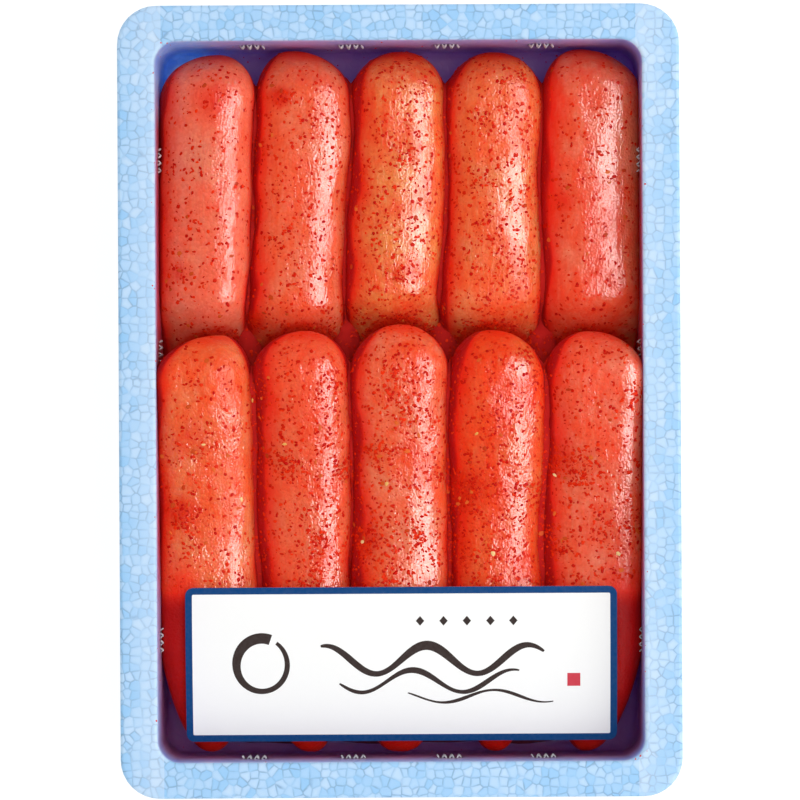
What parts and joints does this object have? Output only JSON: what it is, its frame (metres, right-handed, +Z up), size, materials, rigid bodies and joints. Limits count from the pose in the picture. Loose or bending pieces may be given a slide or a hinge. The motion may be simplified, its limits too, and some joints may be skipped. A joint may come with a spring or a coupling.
{
  "type": "tray of spicy pollock roe",
  "caption": "Deep foam tray packed with whole spicy pollock roe sacs in overlapping rows, dusted with chilli flakes, with a bordered paper card laid over the front row.",
  "frame": {"origin": "centre of the tray's flat base", "axes": "+X to the right across the tray, +Y along it towards the row of sacs that lies furthest from the card, +Z up"},
  "size_m": [0.18, 0.254, 0.0489],
  "materials": {
    "foam": "pale blue expanded polystyrene foam with a fine bead texture",
    "roe": "wet coral-red roe skin dusted with chilli flakes",
    "card": "smooth white card with a blue border"
  },
  "bodies": {
    "root": {"tray": "foam", "roe_back_1": "roe", "roe_back_2": "roe", "roe_back_3": "roe", "roe_back_4": "roe", "roe_back_5": "roe", "roe_front_1": "roe", "roe_front_2": "roe", "roe_front_3": "roe", "roe_front_4": "roe", "roe_front_5": "roe", "label_card": "card"}
  },
  "joints": []
}
